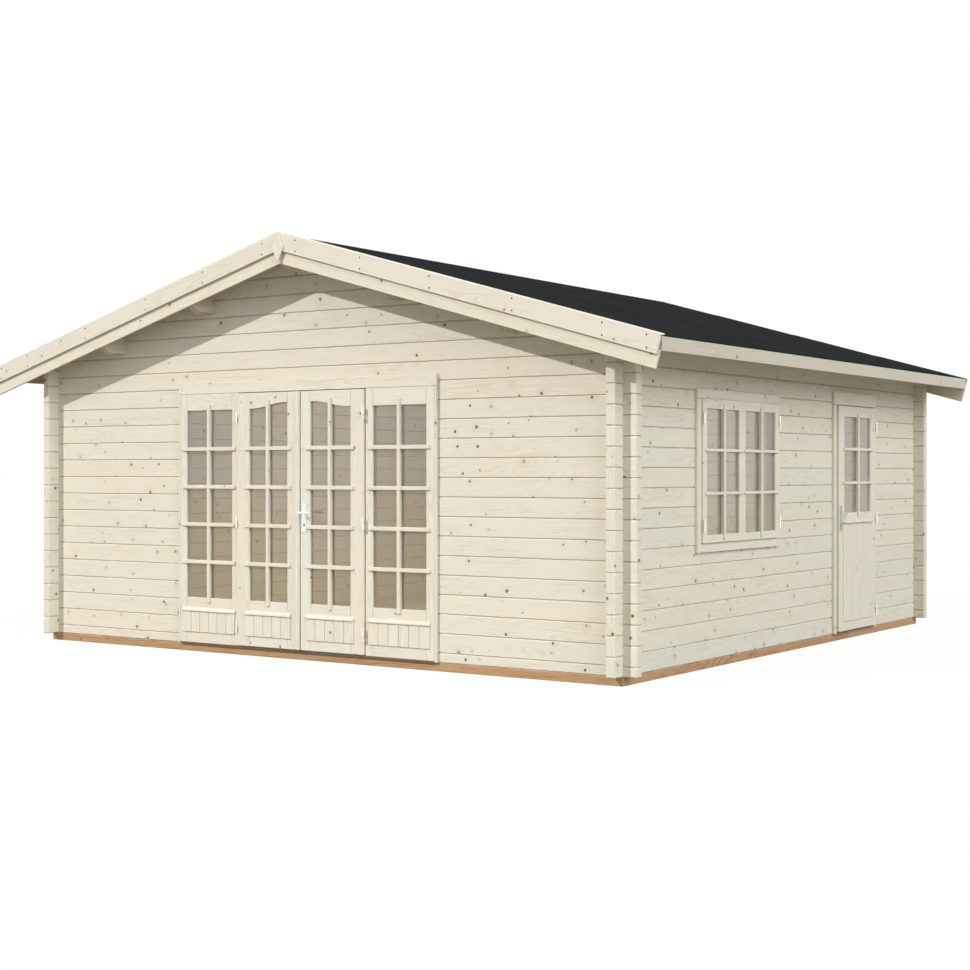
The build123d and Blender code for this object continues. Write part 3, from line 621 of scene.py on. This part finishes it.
# Eave boards: a planed board on edge along each eave, in two lengths that butt near the rear.
# It covers the ends of the roof boards, and the felt laps over its top.
eave_board_t = 0.020
eave_board_edge = 0.002
eave_joint_y = 1.66
eave_joint = 0.0012
low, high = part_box("eave_boards")
rows = []
for side in (-1, 1):
    x = sorted((side * high.x, side * (high.x - eave_board_t)))
    rows.append(row(x, (low.y, eave_joint_y - eave_joint / 2), (low.z, high.z), 1))
    rows.append(row(x, (eave_joint_y + eave_joint / 2, high.y), (low.z, high.z), 1))
# Darker than the barge pine: painted shade on the eave boards
eave_pine_painted_shade = timber("eave_pine_painted_shade", (0.540, 0.512, 0.436), (0.530, 0.490, 0.408), per_metre=2.5)
piece("eave_planks", boards(rows, eave_board_edge, 18), eave_pine_painted_shade, ["eave_boards"])

# Front door set: a casing round two side lights and two leaves, each glued up from stiles and rails.
# A grid of planted bars stands on the glass, and a sloping drip moulding and a planked panel close the foot.
casing_face = -2.6815
leaf_face = -2.6985
leaf_t = 0.044
light_t = 0.058
joinery_edge = 0.0024
hair = 0.0010
casing_w = 0.018
head_h = 0.084
light_edge = 0.611
light_pane_x = (0.677, 1.147)
leaf_pane_x = (0.111, 0.485)
unit_sill = 0.070
stop_x = 0.590
stop_w = 0.021
stop_depth = 0.026
pane_z = (0.418, 1.853)
pane_rise = 0.044
bar_w = 0.028
bar_h = 0.030
bar_out = 0.013
bar_in = 0.004
bar_lap = 0.036
bar_top_lap = 0.045
bar_edge = 0.0035
bar_step = 0.0008
bar_heights = (0.692, 0.980, 1.268, 1.557)
glass_depth = 0.016
glass_t = 0.005
glass_clear = 0.0005
drip_z = (0.311, 0.343)
drip_out = 0.017
panel_z = (0.152, 0.310)
panel_out = 0.009
plank_w = 0.088
plank_gap = 0.0026
plank_in = 0.004
plank_edge = 0.0025
strip_edge = 0.004
joinery_pale = (0.685, 0.660, 0.572)
joinery_warm = (0.700, 0.640, 0.545)
joinery_pine = timber("joinery_pine", joinery_pale, joinery_warm, figure=0.26, per_metre=4.2, radius=0.0085)


def joinery(name, made, replaced=(), move=None, body="building"):
    """A piece of the doors' and the window's bare pine."""
    piece(name, made, joinery_pine, replaced, move, body)


def wider(span, by):
    """A span made wider at both ends, or narrower where by is negative."""
    return span[0] - by, span[1] + by


def posts(outer, inner, y, z):
    """Two upright rows, each between an outer and an inner x, on either side of an opening."""
    return [row((outer[0], inner[0]), y, z, 2), row((inner[1], outer[1]), y, z, 2)]


def frame_rows(x, z, pane_x, pane_height, face, depth, top_rail=True):
    """Two stiles at full height and the rails between them, round a pane."""
    y = (face, face + depth)
    rows = posts(x, wider(pane_x, hair), y, z)
    rows.append(row(pane_x, y, (z[0], pane_height[0]), 0))
    if top_rail:
        rows.append(row(pane_x, y, (pane_height[1], z[1]), 0))
    return rows


def bar_rows(pane_x, pane_height, face, depth, heights, height=bar_h, top_lap=bar_top_lap):
    """An upright bar at the middle of a pane and level bars across it, outside lapping the frame, inside within it."""
    middle = (pane_x[0] + pane_x[1]) / 2
    upright_x = (middle - bar_w / 2, middle + bar_w / 2)
    lap_x = wider(pane_x, bar_lap)
    front = (face - bar_out, face + glass_depth - glass_clear)
    back = (face + glass_depth + glass_t + glass_clear, face + depth - bar_in)
    upright_z = (pane_height[0] - bar_lap, pane_height[1] + top_lap)
    rows = [row(upright_x, (front[0] - bar_step, front[1]), upright_z, 2), row(upright_x, back, pane_height, 2)]
    for level in heights:
        z = (level - height / 2, level + height / 2)
        rows.append(row(lap_x, front, z, 0))
        rows.append(row(pane_x, (back[0], back[1] - 0.001), z, 0))
    return rows


def plank_rows(x, z, face, out, width):
    """Upright planks of about the given width, side by side on a face."""
    count = max(1, round((x[1] - x[0]) / width))
    step = (x[1] - x[0]) / count
    starts = [x[0] + n * step for n in range(count)]
    return [row((start, start + step - plank_gap), (face - out, face + plank_in), z, 2) for start in starts]


def drip(x, z, face, out, seed):
    """A drip moulding: its section has a flat back and underside, a short nose, and a top that slopes to the back."""
    nose = z[0] + (z[1] - z[0]) * 0.35
    outline = [(face + 0.002, z[0]), (face + 0.002, z[1]), (face - out * 0.25, z[1] - 0.002), (face - out, nose)]
    outline += [(face - out, z[0] + 0.002), (face - out + 0.002, z[0])]
    section = np.array(outline)[::-1]
    middle = section.mean(axis=0)
    tight = middle + (section - middle) * 0.94
    rings = np.stack([tight, section, section, tight])[None]
    ends = np.array([[x[0], x[0] + 0.0015, x[1] - 0.0015, x[1]]])
    return skins(rings, ends, 0, np.array([float(seed)]))


def swept_rail(x, z_top, pane_top, rise, climb, y, seed):
    """The top rail of a leaf. Its lower edge climbs by rise in two equal arcs: z = pane_top + rise s, where s turns
    from 0 to 1 along the rail as 2 t^2 up to the middle and 1 - 2 (1 - t)^2 after it."""
    t = np.linspace(0, 1, 25)
    s = np.where(t < 0.5, 2 * t ** 2, 1 - 2 * (1 - t) ** 2)
    low_edge = pane_top + rise * (s if climb > 0 else s[::-1])
    e = joinery_edge
    sides = np.array([y[0], y[0] + e, y[1] - e, y[1], y[1], y[1] - e, y[0] + e, y[0]])
    lift = np.array([e, 0, 0, e, -e, 0, 0, -e])
    low_corner = np.array([1, 1, 1, 1, 0, 0, 0, 0])
    heights = low_corner * low_edge[:, None] + (1 - low_corner) * z_top + lift
    rings = np.stack([np.broadcast_to(sides, heights.shape), heights], axis=-1)[None]
    return skins(rings, (x[0] + (x[1] - x[0]) * t)[None], 0, np.array([float(seed)]))


def planted(word, body, pane_x, pane_height, face, depth, seed):
    """The bars, the planked panel and the drip moulding on the front of a side light or a leaf."""
    lap_x = wider(pane_x, bar_lap)
    grid = boards(bar_rows(pane_x, pane_height, face, depth, bar_heights), bar_edge, seed + 10)
    joinery(f"{word}_bars", grid, body=body)
    foot = boards(plank_rows(lap_x, panel_z, face, panel_out, plank_w), plank_edge, seed + 20)
    joinery(f"{word}_planks", foot, body=body)
    joinery(f"{word}_drip", [drip(lap_x, drip_z, face, drip_out, seed)], body=body)


low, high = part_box("front_door_frame")
light_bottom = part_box("left_side_light")[0].z
light_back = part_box("left_side_light")[1].y
head_z = high.z - head_h
light_x = high.x - casing_w
stop_y = (light_back - stop_depth, light_back)
casing_y = (casing_face, wall_y[0])
set_x = (low.x, high.x)
post_x = (low.x + casing_w - hair, high.x - casing_w + hair)
rows = [*posts(set_x, post_x, casing_y, (low.z, head_z - hair)),
        row(set_x, casing_y, (head_z, high.z), 0),
        row((-light_x, light_x), (wall_y[0] + hair, wall_y[0] + log_t), (head_z, lintel_low - hair), 0),
        row((-stop_x, stop_x), stop_y, (head_z - stop_w, head_z), 0)]
joinery("front_casing", boards(rows, joinery_edge, 19), ["front_door_frame"])
for side, word, seed in ((-1, "left", 20), (1, "right", 21)):
    x = sorted((side * light_edge, side * light_x))
    pane_x = sorted((side * light_pane_x[0], side * light_pane_x[1]))
    rows = frame_rows(x, (light_bottom, head_z - hair), pane_x, pane_z, casing_face, light_t)
    rows.append(row(sorted((side * stop_x, side * light_edge)), stop_y, (light_bottom, head_z - stop_w), 2))
    joinery(f"{word}_side_light_frame", boards(rows, joinery_edge, seed), [f"{word}_side_light"])
    planted(f"{word}_side_light", "building", pane_x, pane_z, casing_face, light_t, seed)
for side, word, seed in ((-1, "left", 22), (1, "right", 23)):
    low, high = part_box(f"{word}_leaf")
    pane_x = sorted((side * leaf_pane_x[0], side * leaf_pane_x[1]))
    rows = frame_rows((low.x, high.x), (low.z, high.z), pane_x, pane_z, leaf_face, leaf_t, top_rail=False)
    rail_y = (leaf_face, leaf_face + leaf_t)
    rail = swept_rail(pane_x, high.z, pane_z[1], pane_rise, -side, rail_y, seed)
    joinery(f"{word}_leaf_frame", boards(rows, joinery_edge, seed) + [rail], [f"{word}_leaf"], body=f"{word}_door")
    bars_z = (pane_z[0], pane_z[1] + pane_rise / 2)
    planted(f"{word}_leaf", f"{word}_door", pane_x, bars_z, leaf_face, leaf_t, seed)
low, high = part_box("meeting_strip")
joinery("meeting_lath", boards([(low, high, 2)], strip_edge, 24), ["meeting_strip"], body="left_door")

# Window of the right wall: a casing with a sill, and two casements of six panes each with planted bars.
# Planed pine, left bare. It is built as if it faced -Y, and then turned into the right wall.
window_x = (1.006, 2.362)
window_z = (0.819, 1.964)
window_side = 0.050
window_sill = 0.065
window_head = 0.068
sash_outer = 0.060
sash_inner = 0.050
sash_bottom = 0.058
sash_top = 0.071
sash_gap = 0.004
sash_seat = 0.0003
lining_in = 0.026
lining_back = 0.001
lining_top = 1.9495
window_bars = (1.231, 1.5345)
window_bar_h = 0.023
window_bar_lap = 0.035


def in_right_wall(points):
    """Turns points made at the front wall, with x counted from the front corner, into the right wall."""
    return np.stack([wall_x - (points[:, 1] - wall_y[0]), wall_y[0] + points[:, 0], points[:, 2]], axis=-1)


casing_y = (casing_face, wall_y[0] - hair)
inner_x = wider(window_x, -window_side)
inner_z = (window_z[0] + window_sill, window_z[1] - window_head)
lining_x = wider(window_x, -lining_in)
lining_y = (casing_face + lining_back, wall_y[0] + log_t)
rows = [*posts(window_x, inner_x, casing_y, (window_z[0], inner_z[1] - hair)),
        row(window_x, casing_y, (inner_z[1], window_z[1]), 0),
        row(wider(inner_x, -hair), casing_y, (window_z[0], inner_z[0]), 0),
        *posts(lining_x, inner_x, lining_y, inner_z),
        row(lining_x, lining_y, (window_z[0] + lining_in, inner_z[0]), 0),
        row(lining_x, lining_y, (inner_z[1], lining_top), 0)]
joinery("window_casing", boards(rows, joinery_edge, 25), ["window_frame"], in_right_wall)
sash_w = (inner_x[1] - inner_x[0] - sash_gap) / 2
pane_height = (inner_z[0] + sash_bottom, inner_z[1] - sash_top)
outer_z = wider(inner_z, -sash_seat)
rows, bars = [], []
for number, stiles in enumerate(((sash_outer, sash_inner), (sash_inner, sash_outer))):
    x0 = inner_x[0] + sash_seat + number * (sash_w + sash_gap - sash_seat)
    x1 = x0 + sash_w - sash_seat
    pane_x = (x0 + stiles[0], x1 - stiles[1])
    rows += frame_rows((x0, x1), outer_z, pane_x, pane_height, leaf_face, leaf_t)
    bars += bar_rows(pane_x, pane_height, leaf_face, leaf_t, window_bars, window_bar_h, window_bar_lap)
joinery("casements", boards(rows, joinery_edge, 26), ["window_sashes"], in_right_wall)
joinery("casement_bars", boards(bars, bar_edge, 27), (), in_right_wall)

# Door of the right wall: a leaf with six panes over a drip moulding and one tall planked panel.
# Pine stiles and rails, hung in a casing like the window's.
side_x = (3.4365, 4.3415)
side_top = 2.040
side_casing_w = 0.052
side_stile = 0.115
side_pane_z = (1.048, 1.836)
side_bars = (1.292, 1.5695)
side_bar_h = 0.026
side_bar_lap = 0.030
side_drip_z = (0.960, 0.986)
side_drip_out = 0.018
side_panel_z = (0.152, 0.948)
side_plank_w = 0.072
side_plank_edge = 0.0028
leaf_gap = 0.006
stop_gap = 0.005
leaf_x = wider(side_x, -side_casing_w)
post_x = wider(leaf_x, leaf_gap)
low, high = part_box("side_door")
head_low = high.z + leaf_gap
lining_x = wider(side_x, -lining_in)
stop_y = (leaf_face + leaf_t + stop_gap, leaf_face + leaf_t + stop_gap + stop_depth)
stop_z = (unit_sill, head_low - stop_w)
rows = [*posts(side_x, post_x, casing_y, (wall_low, head_low - hair)),
        row(side_x, casing_y, (head_low, side_top), 0),
        *posts(lining_x, post_x, lining_y, (wall_low, head_low)),
        row(lining_x, lining_y, (head_low, lining_top), 0),
        *posts(post_x, wider(post_x, -stop_w), stop_y, stop_z),
        row(post_x, stop_y, (head_low - stop_w, head_low), 0)]
joinery("side_door_casing", boards(rows, joinery_edge, 28), ["side_door_frame"], in_right_wall)
pane_x = wider(leaf_x, -side_stile)
lap_x = wider(pane_x, bar_lap)
rows = frame_rows(leaf_x, (low.z, high.z), pane_x, side_pane_z, leaf_face, leaf_t)
joinery("side_leaf_frame", boards(rows, joinery_edge, 29), ["side_door"], in_right_wall, "wall_door")
bars = bar_rows(pane_x, side_pane_z, leaf_face, leaf_t, side_bars, side_bar_h, side_bar_lap)
joinery("side_leaf_bars", boards(bars, bar_edge, 30), (), in_right_wall, "wall_door")
foot = boards(plank_rows(lap_x, side_panel_z, leaf_face, panel_out, side_plank_w), side_plank_edge, 31)
joinery("side_leaf_planks", foot, (), in_right_wall, "wall_door")
moulding = [drip(lap_x, side_drip_z, leaf_face, side_drip_out, 32)]
joinery("side_leaf_drip", moulding, (), in_right_wall, "wall_door")

# Glass: clear float panes set in grooves of the leaves, lights and casements.
# It mirrors a grey sky and lets the room through, with the faint waves and dust of real glass. Its colour adds painted
# light, warm low down and grey higher up.
glass_nodes = ["left_leaf_glass", "right_leaf_glass", "side_light_glass", "window_glass", "side_door_glass"]
# Painted light in the glass: warm low down and grey higher up
glass_painted_warm = (0.750, 0.705, 0.575)
glass_painted_grey = (0.750, 0.745, 0.725)


def glass_with_painted_light():
    """Glass with painted light in its colour, warm low down and grey higher up, a trace of dust, and faint waves in its
    face.
    """
    made, tree, shader = surface("glass_with_painted_light")
    seen = node(tree, "TexCoord").outputs["Object"]
    drift = node(tree, "TexNoise", seen, None, 1.3, 2.0, 0.5).outputs[0]
    dust = node(tree, "TexNoise", seen, None, 14.0, 4.0, 0.6).outputs[0]
    height = plus(tree, object_parts(tree)[2], graded(tree, drift, 0.3, 0.7, -0.3, 0.3))
    tree.links.new(mixed(tree, graded(tree, height, 0.7, 1.5), glass_painted_warm, glass_painted_grey), shader.inputs["Base Color"])
    tree.links.new(graded(tree, dust, 0.3, 0.8, 0.0, 0.03), shader.inputs["Roughness"])
    raised(tree, shader, drift, 0.05, 0.002)
    shader.inputs["IOR"].default_value = 1.5
    shader.inputs["Transmission Weight"].default_value = 0.90
    return made


finish_nodes(glass_nodes, glass_with_painted_light())

# Thresholds: an extruded aluminium strip on the base beam under each door, screwed down.
# Mill finish, with fine lines along its length and trodden scratches. Its colour is darkened to an olive-brown painted
# shade.
# Painted shade: the strip's colour is dark olive-brown
threshold_painted_shade = (0.170, 0.155, 0.125)
threshold_painted_shade_dull = (0.120, 0.105, 0.080)

# Brushed lines that all metals share, stretched by the given scales, and patches where hands or feet rub
brushed, given, result = group("brushed_lines", {"Place": None}, ["Lines", "Rubbed"])
brushed.links.new(node(brushed, "TexNoise", given["Place"], None, 1.0, 2.0).outputs[0], result["Lines"])
unscaled = node(brushed, "TexCoord").outputs["Object"]
brushed.links.new(node(brushed, "TexNoise", unscaled, None, 26.0, 3.0, 0.6).outputs[0], result["Rubbed"])


def metal(name, colour, dull, rough, stretch):
    """Plated metal: brushed lines stretched by the given scales, and dull patches where hands or feet rub it."""
    made, tree, shader = surface(name)
    scaled = node(tree, "Mapping", node(tree, "TexCoord").outputs["Object"], None, None, stretch).outputs[0]
    out = node(tree, "Group", scaled, node_tree=brushed).outputs
    tree.links.new(mixed(tree, graded(tree, out["Rubbed"], 0.35, 0.75), colour, dull), shader.inputs["Base Color"])
    gloss = plus(tree, graded(tree, out["Rubbed"], 0.3, 0.8, rough, rough + 0.16),
                 graded(tree, out["Lines"], 0.3, 0.7, -0.04, 0.06))
    tree.links.new(gloss, shader.inputs["Roughness"])
    raised(tree, shader, out["Lines"], 0.2, 0.0002)
    shader.inputs["Metallic"].default_value = 1.0
    return made


finish_nodes(["thresholds"], metal("mill_aluminium_painted_shade", threshold_painted_shade, threshold_painted_shade_dull, 0.42, (4.0, 4.0, 700.0)))

# Hinges: barrels with short flaps, zinc-plated, screwed to the leaves, their frames and the casements.
# The plating has a pale warm grey tone, with faint upright lines.
zinc = metal("zinc", (0.80, 0.77, 0.69), (0.62, 0.59, 0.51), 0.42, (300.0, 300.0, 12.0))
hinges = ["frame_knuckles", "left_leaf_knuckles", "right_leaf_knuckles", "side_door_knuckles", "window_hinges"]
finish_nodes(hinges, zinc)

# Locks: satin steel plates on both faces of the right leaf and the side door, with a bar lever on a spindle. The side
# door's plates and screws are a darker copy of the steel, a painted shade.
# Each outer plate has a screw near either end and a dark keyhole under the lever.
screw_r = 0.0045
screw_out = 0.0015
screw_in = 0.012
keyhole_r = 0.0085
keyhole_out = 0.0012
keyhole_up = 0.050
upright_brush = (500.0, 500.0, 20.0)
satin_steel = metal("satin_steel", (0.86, 0.87, 0.86), (0.72, 0.73, 0.72), 0.26, upright_brush)
# A darker copy of the satin steel: painted shade for the side door's plates and screws
painted_shade_steel = metal("painted_shade_steel", (0.50, 0.49, 0.46), (0.36, 0.35, 0.32), 0.34, upright_brush)
# Dark steel of the nail heads, and the painted shade of the keyholes
dark_steel_and_hole_shade = metal("dark_steel_and_hole_shade", (0.075, 0.070, 0.062), (0.045, 0.042, 0.038), 0.40, upright_brush)
finish_nodes(["front_lock_plates", "front_lever", "side_lever"], satin_steel)
finish_nodes(["side_lock_plates"], painted_shade_steel)


def studs(centres, face, radius, out):
    """Round heads on a face that looks to -Y: three rings of twelve corners, the outer one at 0.6 of the radius.

    centres are pairs of x and z. The rings lie at out, at 0.4 of out and just inside the face.
    """
    turn = np.arange(12) * pi / 6
    circle = np.stack([np.sin(turn), np.cos(turn)], axis=-1)[None, None]
    spread = np.array([0.6, 1.0, 1.0])[None, :, None, None] * radius
    middle = np.array([(z, x) for x, z in centres], float)[:, None, None, :]
    along = np.array([face - out, face - 0.4 * out, face + 0.0005]) + np.zeros((len(centres), 1))
    return skins(middle + circle[..., ::-1] * spread, along, 1, np.zeros(len(centres)))


def lock_marks(word, body, x, face, z, steel, move=None):
    """The two screws and the keyhole of a lock plate that faces -Y."""
    screws = studs([(x, z[0] + screw_in), (x, z[1] - screw_in)], face, screw_r, screw_out)
    piece(f"{word}_lock_screws", [screws], steel, (), move, body)
    # The keyhole is a dark disc just proud of the plate: painted shade for the hollow of the hole
    keyhole = studs([(x, z[0] + keyhole_up)], face, keyhole_r, keyhole_out)
    piece(f"{word}_keyhole", [keyhole], dark_steel_and_hole_shade, (), move, body)


low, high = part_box("front_lock_plates")
lock_marks("front", "right_door", (low.x + high.x) / 2, low.y, (low.z, high.z), satin_steel)
low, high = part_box("side_lock_plates")
plate_face = wall_y[0] - (high.x - wall_x)
plate_x = (low.y + high.y) / 2 - wall_y[0]
lock_marks("side", "wall_door", plate_x, plate_face, (low.z, high.z), painted_shade_steel, in_right_wall)

# Nails of the barge boards: pairs of round heads at each purlin and between, on the front gable.
# Dark steel, driven home so that only their low domes stand proud.
nail_r = 0.0060
nail_out = 0.0018
nail_x = (0.16, 0.75, 1.35, 2.02, 2.70, 3.02)
nail_rise = (-0.072, 0.004)
pairs = [(x, rise) for x in nail_x for rise in nail_rise]
places = [(side * x, apex + rise / cos(pitch) - x * tan(pitch)) for side in (-1, 1) for x, rise in pairs]
nails = studs(places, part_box("front_upper_barges")[0].y, nail_r, nail_out)
piece("barge_nails", [nails], dark_steel_and_hole_shade)

# The stand for the picture: a plain pale floor, soft lamps and a camera where the photograph was taken from.
# White shows behind the cabin to the camera, in the metal and through the glass, and the floor keeps the shadow.
floor_half = 300.0
eye = (7.991, -11.980, 1.382)
eye_turn = 34.32
eye_lens = 61.61
eye_shift = -0.0134
sun_way = (0.61, 1.0, -0.78)
sun_power = 2.60
fill_way = (-1.0, 0.30, -0.58)
fill_power = 2.50
room_light = 0.30
room_power = 104.0
floor_low = -0.002
floor_colour = (0.42, 0.40, 0.34, 1)
floor_glow = 1.06
glow_share = 0.90


def sees_white(tree):
    """1 for rays of the camera, of a mirror and through glass, and 0 for the rays that light the cabin."""
    path = node(tree, "LightPath").outputs
    either = maths(tree, "MAXIMUM", path["Is Camera Ray"], path["Is Glossy Ray"])
    return maths(tree, "MAXIMUM", either, path["Is Transmission Ray"])


corners = [(x * floor_half, y * floor_half, floor_low) for x, y in ((-1, -1), (1, -1), (1, 1), (-1, 1))]
stand_mesh = bpy.data.meshes.new("floor")
stand_mesh.from_pydata(corners, [], [(0, 1, 2, 3)])
stand = bpy.data.objects.new("floor", stand_mesh)
bpy.context.scene.collection.objects.link(stand)
pale, tree, shader = surface("pale_floor")
shader.inputs["Base Color"].default_value = floor_colour
shader.inputs["Roughness"].default_value = 0.9
glow = node(tree, "Emission", (1, 1, 1, 1), floor_glow).outputs[0]
share = times(tree, sees_white(tree), glow_share)
whole = node(tree, "MixShader", share, shader.outputs[0], glow).outputs[0]
tree.links.new(whole, tree.nodes["Material Output"].inputs[0])
stand_mesh.materials.append(pale)

world = bpy.data.worlds.new("room")
bpy.context.scene.world = world
world.use_nodes = True
tree = world.node_tree
tree.nodes["Background"].inputs[0].default_value = (1, 1, 1, 1)
tree.links.new(graded(tree, sees_white(tree), 0.0, 1.0, room_light, 1.0), tree.nodes["Background"].inputs[1])


def lamp(name, way, power, colour, spread):
    """A far lamp that shines along the given way, softened by its spread in degrees."""
    light = bpy.data.lights.new(name, "SUN")
    light.energy = power
    light.color = colour
    light.angle = radians(spread)
    made = bpy.data.objects.new(name, light)
    x, y, z = way
    made.rotation_euler = (atan((x * x + y * y) ** 0.5 / -z), 0, np.arctan2(y, x) - pi / 2)
    bpy.context.scene.collection.objects.link(made)


lamp("key_lamp", sun_way, sun_power, (1.0, 0.985, 0.96), 1.2)
lamp("fill_lamp", fill_way, fill_power, (0.945, 0.99, 1.0), 50.0)
room_lamp = bpy.data.lights.new("room_lamp", "POINT")
room_lamp.energy = room_power
room_lamp.color = (1.0, 0.95, 0.88)
room_lamp.shadow_soft_size = 0.5
inside = bpy.data.objects.new("room_lamp", room_lamp)
inside.location = (0.0, 0.4, 1.7)
inside.visible_camera = False
inside.visible_glossy = False
inside.visible_transmission = False
bpy.context.scene.collection.objects.link(inside)
lens = bpy.data.cameras.new("eye")
lens.lens = eye_lens
lens.shift_y = eye_shift
lens.clip_end = 1000.0
camera = bpy.data.objects.new("eye", lens)
camera.location = eye
camera.rotation_euler = (radians(90), 0, radians(eye_turn))
bpy.context.scene.collection.objects.link(camera)
bpy.context.scene.camera = camera
bpy.context.scene.view_settings.view_transform = "Standard"
